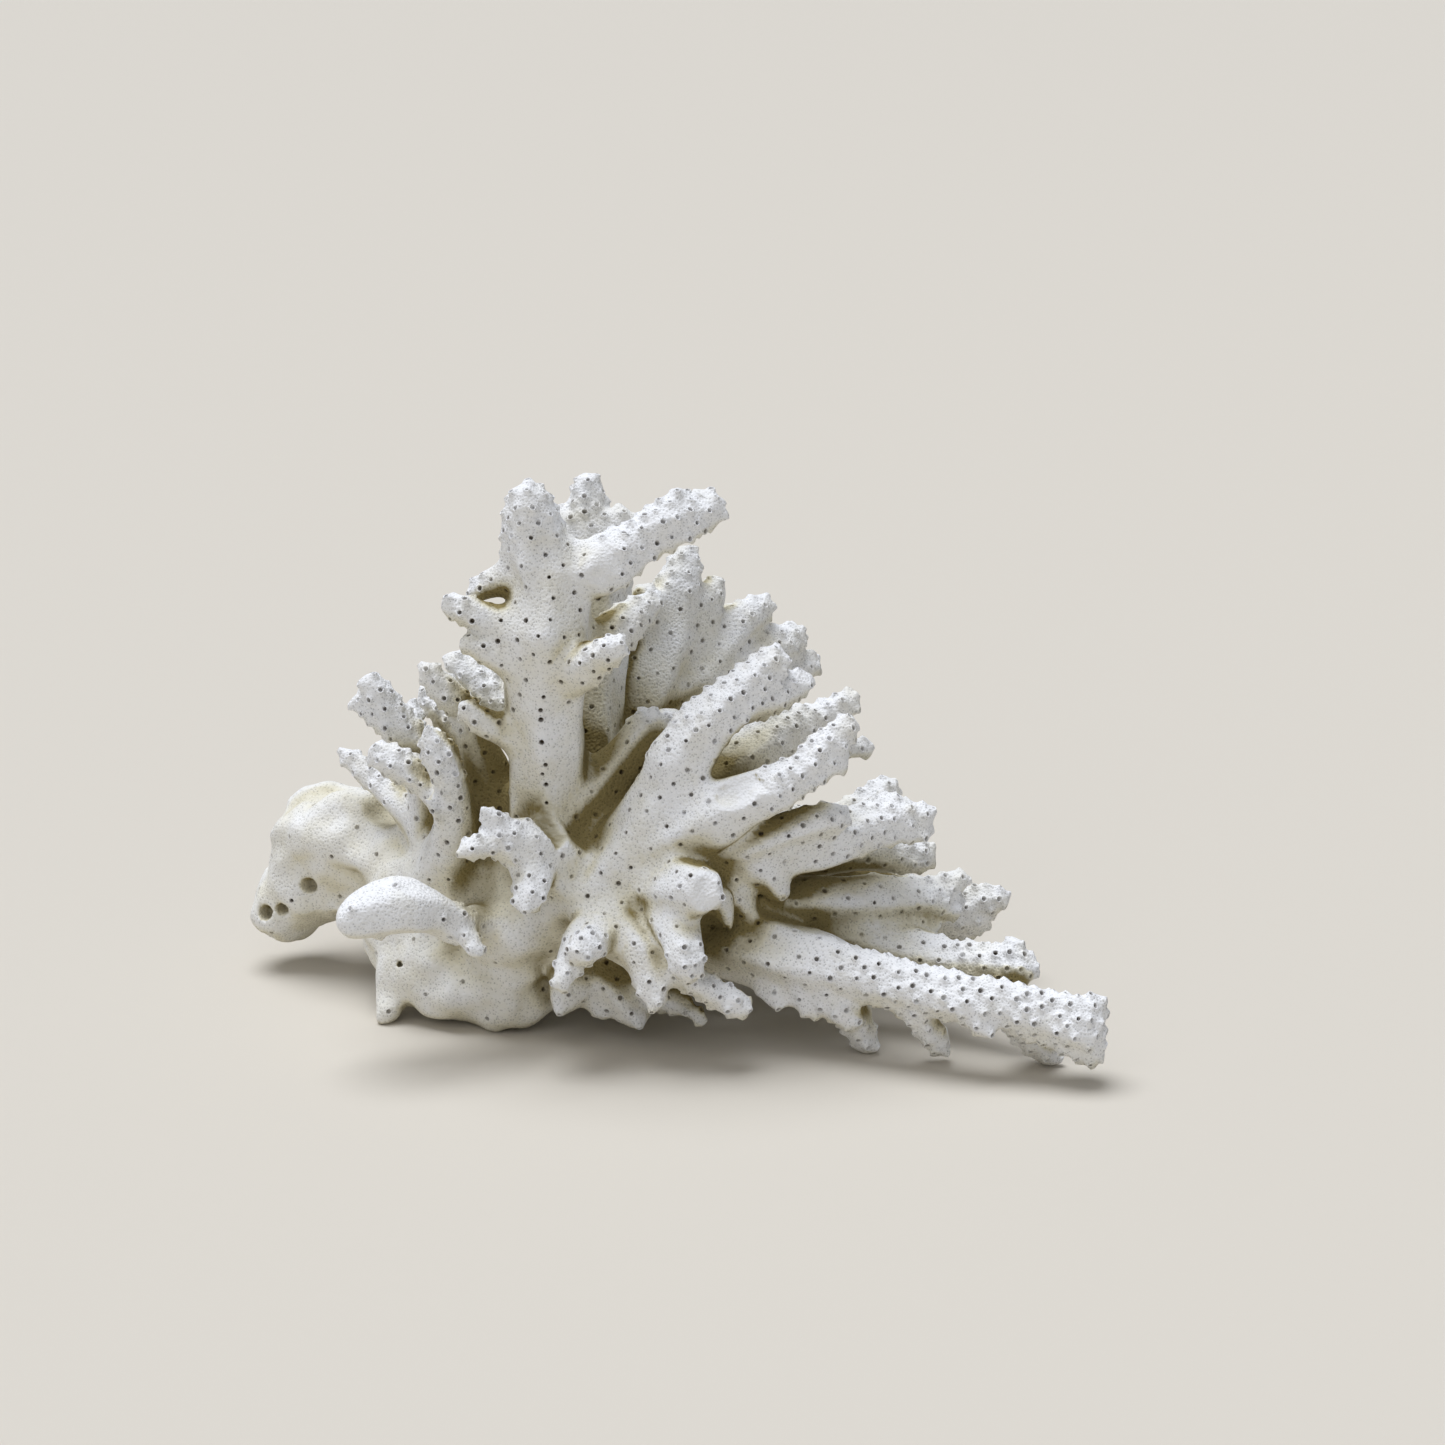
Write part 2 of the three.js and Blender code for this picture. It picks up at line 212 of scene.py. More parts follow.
class CoralCups(bpy.types.PropertyGroup):
    """Sizes of the cups."""

    mouth: length_property("Mouth width", 0.72, "Width of a cup's opening")
    wall: length_property("Wall", 0.17, "Thickness of the wall around the opening")
    depth: length_property("Depth", 0.9, "Depth of a cup below the surface")
    mound: length_property("Mound", 0.45, "Height of the mound under a cup near a finger tip")
    mound_reach: length_property("Mound reach", 1.3, "Distance that a mound slopes down over")
    lip: length_property("Lip", 0.07, "Height of the wall over the surface around it")
    tip_spacing: length_property("Spacing at tips", 1.75, "Least distance between cups near a tip")
    limb_spacing: length_property("Spacing on limbs", 2.75, "Least distance between cups on a limb")
    worn_spacing: length_property("Spacing on worn skeleton", 6.5, "Least distance where it is worn")
    lean: FloatProperty(
        name="Lean", description="How far a cup near a tip leans towards it", subtype="ANGLE",
        default=math.radians(26), min=0, max=math.radians(60),
    )
    sides: IntProperty(name="Sides", description="Corners around a cup", default=8, min=6, max=16)


class CoralColours(bpy.types.PropertyGroup):
    """Colours of the skeleton and the stage."""

    white: colour_property("Bleached", "F0F1F3", "Clean skeleton on tips and edges")
    cream: colour_property("Cream", "DDD8C4", "Skeleton on the limbs")
    # Colour of recesses and undersides: old staining, and painted shade where shade falls there.
    olive_stain_and_shade: colour_property("Olive", "8C7E52", "Stained skeleton in the recesses")
    # Colour of the pits: grime, and painted shade deep in the cups.
    pit_dirt_and_shade: colour_property("Pit", "65563F", "Dirt at the bottom of the cups")
    floor: colour_property("Floor", "CFC9BE", "Stage floor")


class Lattice:
    """A box of evenly spaced samples around the coral."""

    def __init__(self, low, high, step, margin):
        self.step = step
        self.low = np.array(low) - margin
        self.shape = tuple(np.ceil((np.array(high) + margin - self.low) / step).astype(int) + 1)

    def cells(self, points):
        return (points - self.low) / self.step

    def points(self, cells):
        return cells * self.step + self.low

    def sample(self, values, points):
        nearest = np.rint(self.cells(points)).astype(int)
        i, j, k = np.clip(nearest, 0, np.array(self.shape) - 1).T
        return values[i, j, k]

    def axis(self, number):
        """Coordinates along one axis, shaped to spread over the lattice."""
        shape = [1, 1, 1]
        shape[number] = -1
        line = self.low[number] + self.step * np.arange(self.shape[number])
        return line.astype(np.float32).reshape(shape)

    def distance_to(self, point):
        return np.sqrt(sum((self.axis(n) - point[n]) ** 2 for n in range(3)))

    def height_over(self, point, direction):
        """Signed distance from a plane through the point."""
        return sum((self.axis(n) - point[n]) * direction[n] for n in range(3))


def mesh_arrays(piece):
    """Points and triangles of a piece of the frame."""
    mesh = piece.data
    mesh.calc_loop_triangles()
    points = np.empty(len(mesh.vertices) * 3, np.float32)
    mesh.vertices.foreach_get("co", points)
    triangles = np.empty(len(mesh.loop_triangles) * 3, np.int32)
    mesh.loop_triangles.foreach_get("vertices", triangles)
    return points.reshape(-1, 3), triangles.reshape(-1, 3)


def running_mean(values, width, axis):
    before = [(0, 0)] * 3
    before[axis] = (width // 2 + 1, width // 2)
    total = np.cumsum(np.pad(values, before, mode="edge"), axis=axis, dtype=np.float64)
    upper = [slice(None)] * 3
    lower = [slice(None)] * 3
    upper[axis] = slice(width, None)
    lower[axis] = slice(None, -width)
    return ((total[tuple(upper)] - total[tuple(lower)]) / width).astype(np.float32)


def soften(values, spread):
    """Blur by three running means along each axis, close to a bell curve of that spread."""
    width = 2 * int(round((math.sqrt(4 * spread * spread + 1) - 1) / 2)) + 1
    for axis in range(3):
        for _ in range(3):
            values = running_mean(values, width, axis)
    return values


def lumps(lattice, random, width):
    """Smooth random lumps with a height of about one."""
    noise = soften(random.standard_normal(lattice.shape).astype(np.float32), width / lattice.step)
    return noise / noise.std()


def branch_distance(piece, lattice, reach):
    """Signed distance to one branch of the frame, and the part of the lattice that it covers."""
    points, triangles = mesh_arrays(piece)
    cells = lattice.cells(points)
    cell_reach = reach / lattice.step
    first = np.floor(cells.min(0) - cell_reach).astype(int).clip(0)
    last = np.minimum(np.ceil(cells.max(0) + cell_reach).astype(int), np.array(lattice.shape) - 1)
    grid = openvdb.FloatGrid.createLevelSetFromPolygons(
        cells.astype(np.float32), triangles=triangles.astype(np.uint32), halfWidth=cell_reach)
    values = np.empty(tuple(last - first + 1), np.float32)
    grid.copyToArray(values, ijk=tuple(int(n) for n in first))
    window = tuple(slice(a, b + 1) for a, b in zip(first, last))
    return values * lattice.step, window


class Growth:
    """The fused coral on a lattice: its surface, whose branch is nearest, and what is around it."""

    def __init__(self, nodes, slots, form):
        reach = LATTICE_MARGIN
        step = form.step
        self.names = sorted(nodes)
        self.lattice = Lattice(*CAD_BOX, step, reach)
        self.random = np.random.default_rng(form.seed)
        self.surface = np.full(self.lattice.shape, reach, np.float32)
        self.owner = np.zeros(self.lattice.shape, np.int16)
        self.fuse(nodes, form.fillet, reach)
        inside = (self.surface < 0).astype(np.float32)
        self.near = soften(inside, NEAR_SPREAD / step)
        self.wide = soften(inside, WIDE_SPREAD / step)
        self.aged = self.shared_by("aged_skeleton", slots, FINISH_SPREAD / step)
        self.cream = self.shared_by("cream_skeleton", slots, FINISH_SPREAD / step)
        sharp = soften(self.surface, form.softness / step)
        worn = soften(self.surface, form.wear / step)
        self.surface = sharp + (worn - sharp) * self.aged - form.growth
        self.roughen(form)
        self.broken = self.break_faces(form.roughness)
        self.bore_holes()
        self.surface = np.maximum(self.surface, -self.lattice.axis(2))

    def shared_by(self, slot, slots, spread):
        """How much of the skeleton around each sample has one finish."""
        numbers = [number for number, name in enumerate(self.names) if slots[name] == slot]
        return soften(np.isin(self.owner, numbers).astype(np.float32), spread)

    def fuse(self, nodes, fillet, reach):
        nearest = np.full(self.lattice.shape, reach, np.float32)
        for number, name in enumerate(self.names):
            distance, window = branch_distance(nodes[name], self.lattice, reach)
            around = self.surface[window]
            overlap = np.clip(fillet - np.abs(around - distance), 0, None)
            self.surface[window] = np.minimum(around, distance) - overlap ** 2 / (4 * fillet)
            closer = distance < nearest[window]
            nearest[window][closer] = distance[closer]
            self.owner[window][closer] = number

    def roughen(self, form):
        swelling = lumps(self.lattice, self.random, form.swelling_width) * form.swelling
        knobs = lumps(self.lattice, self.random, form.knob_width) * form.knobbliness
        crust = lumps(self.lattice, self.random, form.crust_width) * form.crust
        self.surface -= swelling * (1 - self.aged) + (knobs + crust) * self.aged

    def break_faces(self, roughness):
        """Cut the broken faces, and return how far each sample is from the nearest of them."""
        coarse = lumps(self.lattice, self.random, COARSE_STEPS)
        fine = lumps(self.lattice, self.random, FINE_STEPS)
        rough = (0.75 * coarse + 0.25 * fine) * roughness
        broken = np.full(self.lattice.shape, 1.0, np.float32)
        for names, point, facing, size in BREAKS:
            point = np.array(point) * MM
            facing = np.array(facing) / np.linalg.norm(facing)
            numbers = [self.names.index(name) for name in names]
            whole = 1 - soften(np.isin(self.owner, numbers).astype(np.float32), MM / self.lattice.step)
            gap = self.lattice.distance_to(point)
            height = self.lattice.height_over(point, facing) + rough
            height -= BREAK_DISH * (gap / (size * MM)) ** 2 + BREAK_CLEARANCE * whole
            beyond = gap - size * MM + 2 * rough
            self.surface = np.maximum(self.surface, np.minimum(height, -beyond))
            broken = np.minimum(broken, np.maximum(np.abs(height), beyond))
        return broken

    def bore_holes(self):
        """Bore the worm holes, each narrowing as it goes straight in."""
        slopes = np.gradient(self.surface)
        for mouth, radius in WORM_HOLES:
            mouth = np.array(mouth) * MM
            radius = radius * MM
            inward = -np.array([self.lattice.sample(slope, mouth[None])[0] for slope in slopes])
            inward /= np.linalg.norm(inward)
            mouth += inward * self.lattice.sample(self.surface, mouth[None])[0]
            for depth in HOLE_DEPTHS:
                size = radius * (1 - HOLE_TAPER * depth)
                hole = self.lattice.distance_to(mouth + inward * radius * depth) - size
                self.surface = np.maximum(self.surface, -hole)

    def enclosed(self, points, normals):
        """How far other limbs close in around points of the surface, from 0 to about 1."""
        close = self.lattice.sample(self.near, points + normals * NEAR_LOOK)
        far = self.lattice.sample(self.wide, points + normals * WIDE_LOOK)
        return close + far

    def skin(self):
        """Points and triangles of the surface, facing out."""
        grid = openvdb.FloatGrid(1.0)
        grid.copyFromArray(self.surface / self.lattice.step)
        cells, quads = grid.convertToQuads(isovalue=0.0)
        points = self.lattice.points(np.asarray(cells, np.float64))
        quads = np.asarray(quads, np.int64)
        triangles = np.concatenate((quads[:, (0, 1, 2)], quads[:, (0, 2, 3)]))
        corners = points[triangles]
        if np.einsum("ij,ij->", corners[:, 0], np.cross(corners[:, 1], corners[:, 2])) < 0:
            triangles = triangles[:, ::-1]
        return points, triangles


def main_body(points, triangles):
    """Only the largest connected part of a surface."""
    label = np.arange(len(points))
    while True:
        low = label[triangles].min(1)
        fresh = label.copy()
        for corner in range(3):
            np.minimum.at(fresh, triangles[:, corner], low)
        fresh = fresh[fresh]
        if np.array_equal(fresh, label):
            break
        label = fresh
    biggest = np.bincount(label).argmax()
    triangles = triangles[label[triangles[:, 0]] == biggest]
    used, triangles = np.unique(triangles, return_inverse=True)
    return points[used], triangles.reshape(-1, 3)


def one_patch_each(triangles, owners):
    """Owners of the triangles, with each stray patch given to the branch that surrounds it."""
    edges = np.sort(triangles[:, ((0, 1), (1, 2), (2, 0))].reshape(-1, 2), axis=1)
    order = np.lexsort(edges.T)
    first, second = (order // 3).reshape(-1, 2).T
    joined = owners[first] == owners[second]
    label = np.arange(len(triangles))
    while True:
        low = np.minimum(label[first], label[second])[joined]
        fresh = label.copy()
        np.minimum.at(fresh, first[joined], low)
        np.minimum.at(fresh, second[joined], low)
        fresh = fresh[fresh]
        if np.array_equal(fresh, label):
            break
        label = fresh
    sizes = np.bincount(label, minlength=len(triangles))
    owners = owners.copy()
    stray = np.ones(len(triangles), bool)
    for owner in np.unique(owners):
        own = owners == owner
        stray[own & (label == label[own][sizes[label[own]].argmax()])] = False
    while stray.any():
        for a, b in ((first, second), (second, first)):
            edge = stray[a] & ~stray[b]
            owners[a[edge]] = owners[b[edge]]
            stray[a[edge]] = False
    return owners


def point_normals(points, triangles):
    corners = points[triangles]
    faces = np.cross(corners[:, 1] - corners[:, 0], corners[:, 2] - corners[:, 0])
    normals = np.zeros_like(points)
    for corner in range(3):
        np.add.at(normals, triangles[:, corner], faces)
    return normals / np.maximum(np.linalg.norm(normals, axis=1, keepdims=True), 1e-20)


def smooth_share(values, start, end):
    """0 before start, 1 after end, and a smooth change between."""
    share = np.clip((values - start) / (end - start), 0, 1)
    return share * share * (3 - 2 * share)


class Cups:
    """The cups: where they are on a surface, and the surface with them built in."""

    def __init__(self, points, triangles, owners, growth, cups):
        self.points = points
        self.triangles = triangles
        self.owners = owners
        self.growth = growth
        self.sizes = cups
        self.normals = point_normals(points, triangles)
        self.enclosed = growth.enclosed(points, self.normals)
        self.aged = growth.lattice.sample(growth.aged, points)
        self.broken = growth.lattice.sample(growth.broken, points)
        self.tip = 1 - smooth_share(growth.lattice.sample(growth.wide, points), *TIP_CROWDING)
        self.tip *= 1 - self.aged
        order = np.argsort(triangles.ravel(), kind="stable")
        self.faces_around = np.split(order // 3, np.cumsum(np.bincount(triangles.ravel()))[:-1])
        self.taken = np.zeros(len(triangles), bool)

    def spacing(self):
        cups = self.sizes
        spacing = cups.limb_spacing + (cups.tip_spacing - cups.limb_spacing) * self.tip
        worn = smooth_share(self.aged, *WORN_FINISH)
        for middle, reach in WORN_PLACES:
            gap = np.linalg.norm(self.points - np.array(middle) * MM, axis=1)
            worn = np.maximum(worn, 1 - smooth_share(gap, 0.8 * reach * MM, reach * MM))
        return spacing + (cups.worn_spacing - spacing) * worn

    def around(self, centre, radius):
        """Corners within a radius of one corner, reached along the surface."""
        near = {int(centre)}
        fresh = near
        while fresh:
            fresh = {
                int(corner)
                for start in fresh for face in self.faces_around[start]
                for corner in self.triangles[face]
            } - near
            fresh = {
                corner for corner in fresh
                if np.linalg.norm(self.points[corner] - self.points[centre]) < radius
            }
            near = near | fresh
        return near

    def patch(self, centre):
        """The faces that a cup takes the place of, and the corners around them, or nothing."""
        near = self.around(centre, self.sizes.mouth / 2 + self.sizes.wall)
        faces = {int(face) for corner in near for face in self.faces_around[corner]}
        if self.taken[list(faces)].any() or len(set(self.owners[list(faces)])) > 1:
            return None
        edges = set()
        for face in faces:
            a, b, c = (int(corner) for corner in self.triangles[face])
            edges.update(((a, b), (b, c), (c, a)))
        after = {a: b for a, b in edges if (b, a) not in edges}
        rim = [next(iter(after))]
        while after[rim[-1]] != rim[0] and len(rim) <= len(after):
            rim.append(after[rim[-1]])
        if len(rim) != len(after) or min(self.normals[rim] @ self.normals[centre]) < FLATTEST_RIM:
            return None
        turns = np.diff(self.turns(self.points[rim + rim[:1]], centre, self.points[rim[0]]))
        if turns.min() <= 0 or abs(turns.sum() - 2 * math.pi) > 0.01:
            return None
        return list(faces), rim

    def turns(self, places, centre, start):
        """Growing angles of places around a corner's normal, from a start direction."""
        normal = self.normals[centre]
        first = start - self.points[centre]
        first = first - normal * (first @ normal)
        flat = places - self.points[centre]
        return np.unwrap(np.arctan2(flat @ np.cross(normal, first), flat @ first))

    def choose(self, seeds):
        """Places for the cups, each with its patch: the given seeds, then random ones."""
        spacing = self.spacing() * self.growth.random.uniform(*SPACING_CHANGE, len(self.points))
        cell = float(spacing.max())
        free = (self.broken > CUP_BREAK_GAP) & (self.points[:, 2] > CUP_TABLE_GAP)
        order = self.growth.random.permutation(np.flatnonzero(free))
        grid = {}
        chosen = []
        for centre in list(seeds) + list(order):
            place = self.points[centre]
            home = np.floor(place / cell).astype(int)
            close = [
                other
                for i in (-1, 0, 1) for j in (-1, 0, 1) for k in (-1, 0, 1)
                for other in grid.get((home[0] + i, home[1] + j, home[2] + k), ())
            ]
            if close and centre not in seeds:
                gaps = np.linalg.norm(self.points[close] - place, axis=1)
                if gaps.min() < spacing[centre]:
                    continue
            patch = self.patch(centre)
            if patch is None:
                continue
            self.taken[patch[0]] = True
            grid.setdefault(tuple(home), []).append(centre)
            chosen.append((centre, *patch))
        return chosen

    def axes(self, centres):
        """The way each cup opens, and a direction towards the finger's tip across it."""
        normal = self.normals[centres]
        outward = self.points[centres] - HUB
        outward -= normal * np.einsum("ij,ij->i", outward, normal)[:, None]
        outward /= np.maximum(np.linalg.norm(outward, axis=1, keepdims=True), 1e-12)
        lean = self.sizes.lean * self.tip[centres][:, None]
        axis = normal * np.cos(lean) + outward * np.sin(lean)
        return axis, outward * np.cos(lean) - normal * np.sin(lean)

    def raise_mounds(self, centres, axes):
        """Lift the surface into a mound under each cup near a tip."""
        cups = self.sizes
        change = self.growth.random.uniform(*MOUND_CHANGE, len(centres))
        heights = cups.mound * self.tip[centres] * change
        highest = np.zeros(len(self.points))
        lifts = np.zeros_like(self.points)
        for centre, axis, height in zip(centres, axes, heights):
            if height < 0.1 * cups.mound:
                continue
            near = np.array(list(self.around(centre, cups.mound_reach)))
            gap = np.linalg.norm(self.points[near] - self.points[centre], axis=1)
            lift = height * (1 - smooth_share(gap, 0.3 * cups.mouth, cups.mound_reach))
            higher = lift > highest[near]
            highest[near[higher]] = lift[higher]
            lifts[near[higher]] = axis * lift[higher][:, None]
        self.points += lifts

    def rings(self, centres, axes, ahead, darkness):
        """Points of the rim, lip, wall and bottom of each cup, and the depth share of each ring."""
        cups = self.sizes
        size = self.growth.random.uniform(*CUP_CHANGE, (len(centres), 1))
        mouth = cups.mouth / 2 * size
        depth = cups.depth * (0.35 + 0.65 * darkness[:, None])
        level = np.ones_like(mouth)
        # The last number of each ring is its share of the colour of the pits: grime and painted shade
        # that deepen towards the bottom of the cup.
        shapes = (
            (mouth + cups.wall, level * 0.4 * cups.lip, 0.0),
            (mouth + 0.3 * cups.wall, level * cups.lip, 0.0),
            (mouth * 0.92, level * -0.5 * cups.wall, 0.55),
            (mouth * 0.7, -depth, 1.0),
        )
        turn = (np.arange(cups.sides) * 2 * math.pi / cups.sides)[None, :, None]
        side = np.cross(axes, ahead)
        across = ahead[:, None] * np.cos(turn) + side[:, None] * np.sin(turn)
        middle = self.points[centres][:, None]
        rings = [
            middle + across * radius[:, None] + axes[:, None] * height[:, None]
            for radius, height, _ in shapes
        ]
        return np.stack(rings, 1), np.array([shape[2] for shape in shapes])

    def dirt_and_shade(self, centres, seeds):
        """How dark each cup is: random grime, and painted shade, darkest on the shadowed crown trunk
        and its row of cups.
        """
        darkness = self.growth.random.uniform(*PIT_DARKNESS_CHANGE, len(centres))
        dark = self.growth.names.index(SHADOWED_BRANCH)
        owners = np.array([self.owners[self.faces_around[centre][0]] for centre in centres])
        darkness[owners == dark] += SHADOWED_BRANCH_SHADE
        # The row of cups on the shadowed trunk gets the darkest painted shade.
        darkness[:len(seeds)] = 1.0
        return darkness

    def zip_rim(self, rim, ring_start, ring_points, centre):
        """Triangles between the corners around a patch and a cup's outer ring."""
        sides = self.sizes.sides
        outer = self.turns(self.points[rim + rim[:1]], centre, ring_points[0])
        inner = np.arange(sides + 1) * 2 * math.pi / sides
        start = math.ceil(outer[0] / inner[1])
        inner = inner + start * inner[1]
        i = j = 0
        triangles = []
        while i < len(rim) or j < sides:
            here = rim[i % len(rim)]
            inside = ring_start + (start + j) % sides
            if j == sides or (i < len(rim) and outer[i + 1] < inner[j + 1]):
                triangles.append((here, rim[(i + 1) % len(rim)], inside))
                i += 1
            else:
                triangles.append((inside, here, ring_start + (start + j + 1) % sides))
                j += 1
        return triangles

    def build(self, seeds):
        """The surface with its cups: points, triangles, branches, the darkness of the grime and
        painted shade in the pits, and base corners.
        """
        chosen = self.choose(seeds)
        centres = np.array([centre for centre, _, _ in chosen])
        axes, ahead = self.axes(centres)
        self.raise_mounds(centres, axes)
        darkness = self.dirt_and_shade(centres, seeds)
        rings, depths = self.rings(centres, axes, ahead, darkness)
        _, levels, sides, _ = rings.shape
        base = len(self.points)
        step = np.arange(sides)
        following = (step + 1) % sides
        inside = []
        for level in range(levels - 1):
            a, b = level * sides + step, level * sides + following
            inside.append(np.stack((a, b, b + sides), 1))
            inside.append(np.stack((a, b + sides, a + sides), 1))
        last = (levels - 1) * sides
        inside.append(np.stack((np.full(sides - 2, last), last + step[1:-1], last + step[2:]), 1))
        inside = np.concatenate(inside)
        kept = ~self.taken
        triangles = [self.triangles[kept]]
        owner = [self.owners[kept]]
        for number, (centre, faces, rim) in enumerate(chosen):
            start = base + number * levels * sides
            zipped = np.array(self.zip_rim(rim, start, rings[number, 0], centre))
            triangles += [zipped, inside + start]
            owner.append(np.full(len(zipped) + len(inside), self.owners[faces[0]]))
        points = np.concatenate((self.points, rings.reshape(-1, 3)))
        # Each ring point's share of the colour of the pits: the cup's darkness times its ring's share,
        # so the painted shade and grime deepen towards the bottom.
        dark = darkness[:, None] * np.repeat(depths, sides)
        pit_dirt_and_shade = np.concatenate((np.zeros(base), dark.ravel()))
        near = np.concatenate((np.arange(base), np.repeat(centres, levels * sides)))
        return points, np.concatenate(triangles), np.concatenate(owner), pit_dirt_and_shade, near


def trunk_row(points, normals):
    """The upright row of cups on the front of the crown trunk."""
    front = np.flatnonzero(normals[:, 1] < -0.6)
    seeds = []
    for number in range(TRUNK_ROW_COUNT):
        height = TRUNK_ROW_LOW[1] + number * TRUNK_ROW_SPACING
        aside = TRUNK_ROW_SWAY * math.sin(2.4 * number)
        offset = np.abs(points[front, 0] - TRUNK_ROW_LOW[0] - aside)
        offset += np.abs(points[front, 2] - height)
        nearest = front[np.argsort(offset)[:10]]
        seeds.append(int(nearest[points[nearest, 1].argmin()]))
    return seeds


def close_ends(points, normals, triangles):
    """Close the open ends of a piece: a collar that dips straight in, and a fan deeper inside."""
    edges = np.concatenate((triangles[:, (0, 1)], triangles[:, (1, 2)], triangles[:, (2, 0)]))
    code = edges[:, 0] * len(points) + edges[:, 1]
    twin = edges[:, 1] * len(points) + edges[:, 0]
    after = {}
    for a, b in edges[~np.isin(code, twin)].tolist():
        after.setdefault(a, []).append(b)
    middle = points[triangles].mean((0, 1))
    count = len(points)
    added = []
    ends = []
    while after:
        start = next(iter(after))
        loop = [start]
        while True:
            ahead = after[loop[-1]]
            step = ahead.pop()
            if not ahead:
                del after[loop[-1]]
            if step == start:
                break
            loop.append(step)
        collar = points[loop] - normals[loop] * COLLAR_DEPTH
        end = collar.mean(0)
        reach = np.linalg.norm(collar - end, axis=1).mean()
        outward = end - middle
        end = end + outward / np.linalg.norm(outward) * reach * END_SHARE
        inner = list(range(count, count + len(loop)))
        count += len(loop) + 1
        added += [collar, end[None]]
        for a, b, c, d in zip(loop, loop[1:] + loop[:1], inner, inner[1:] + inner[:1]):
            ends += [(b, a, c), (b, c, d), (d, c, count - 1)]
    if not ends:
        return points, triangles
    return np.concatenate([points] + added), np.concatenate((triangles, ends))


def add_node(tree, kind, inputs=None, **settings):
    """Add a shader node with its settings, and set or link its inputs by name or number."""
    node = tree.nodes.new(kind)
    for name, value in settings.items():
        setattr(node, name, value)
    for name, value in (inputs or {}).items():
        if isinstance(value, bpy.types.NodeSocket):
            tree.links.new(value, node.inputs[name])
        else:
            node.inputs[name].default_value = value
    return node


def coral_material(name, colours, grain_height):
    """Sun-bleached coral skeleton: dull, grainy limestone. It is white where it is clean, cream on
    the limbs and greenish brown where old staining and painted shade darken the recesses and
    undersides. Fine pores pierce it between its grains."""
    material = bpy.data.materials.new(name)
    material.use_nodes = True
    tree = material.node_tree
    tree.nodes.clear()
    place = add_node(tree, "ShaderNodeTexCoord").outputs["Object"]
    stain_and_shade = add_node(tree, "ShaderNodeAttribute", attribute_name="stain_and_shade").outputs["Fac"]
    pit_dirt_and_shade = add_node(tree, "ShaderNodeAttribute", attribute_name="pit_dirt_and_shade").outputs["Fac"]
    # Dirt lies in blotches about 5 mm across.
    blotch = add_node(
        tree, "ShaderNodeTexNoise", {"Vector": place, "Scale": 1 / (5 * MM), "Detail": 4.0})
    uneven = add_node(
        tree, "ShaderNodeMath", {0: blotch.outputs["Fac"], 1: 0.6, 2: -0.3}, operation="MULTIPLY_ADD")
    # The tint runs from white through cream to a greenish brown as the staining and the painted shade
    # of recesses and undersides grow.
    stain_and_shade_mottled = add_node(
        tree, "ShaderNodeMath", {0: stain_and_shade, 1: uneven.outputs[0]}, operation="ADD", use_clamp=True)
    tint = add_node(tree, "ShaderNodeValToRGB", {"Fac": stain_and_shade_mottled.outputs[0]})
    ramp = tint.color_ramp.elements
    ramp[0].position, ramp[0].color = 0.05, colours.white
    ramp[1].position, ramp[1].color = 0.95, colours.olive_stain_and_shade
    ramp.new(0.45).color = colours.cream
    # Pores about 0.42 mm apart pierce the skeleton, but not where it broke.
    pores = add_node(
        tree, "ShaderNodeTexVoronoi", {"Vector": place, "Scale": 1 / (0.42 * MM)})
    fresh = add_node(tree, "ShaderNodeAttribute", attribute_name="fresh").outputs["Fac"]
    filled = add_node(
        tree, "ShaderNodeMath", {0: fresh, 1: 0.3, 2: pores.outputs["Distance"]},
        operation="MULTIPLY_ADD")
    # Between the pores the skeleton is rough like fine sand.
    sand = add_node(
        tree, "ShaderNodeTexNoise", {"Vector": place, "Scale": 1 / (0.3 * MM), "Detail": 2.0})
    height = add_node(
        tree, "ShaderNodeMath", {0: sand.outputs["Fac"], 1: 0.5, 2: filled.outputs[0]},
        operation="MULTIPLY_ADD")
    shade = add_node(
        tree, "ShaderNodeMapRange",
        {"Value": height.outputs[0], "From Min": 0.3, "From Max": 0.65, "To Min": 0.6, "To Max": 1.0})
    grainy = add_node(
        tree, "ShaderNodeMix",
        {0: 1.0, 6: tint.outputs["Color"], 7: shade.outputs[0]},
        data_type="RGBA", blend_type="MULTIPLY")
    # The pits take their colour: grime, and painted shade that deepens towards the bottom of each cup.
    colour = add_node(
        tree, "ShaderNodeMix", {0: pit_dirt_and_shade, 6: grainy.outputs[2], 7: colours.pit_dirt_and_shade}, data_type="RGBA")
    dull = add_node(
        tree, "ShaderNodeMapRange", {"Value": height.outputs[0], "To Min": 0.95, "To Max": 0.78})
    bump = add_node(
        tree, "ShaderNodeBump",
        {"Height": height.outputs[0], "Strength": 1.0, "Distance": grain_height})
    shader = add_node(
        tree, "ShaderNodeBsdfPrincipled",
        {"Base Color": colour.outputs[2], "Roughness": dull.outputs[0], "IOR": 1.6,
         "Specular IOR Level": 0.25, "Normal": bump.outputs["Normal"]})
    add_node(tree, "ShaderNodeOutputMaterial", {"Surface": shader.outputs["BSDF"]})
    return material


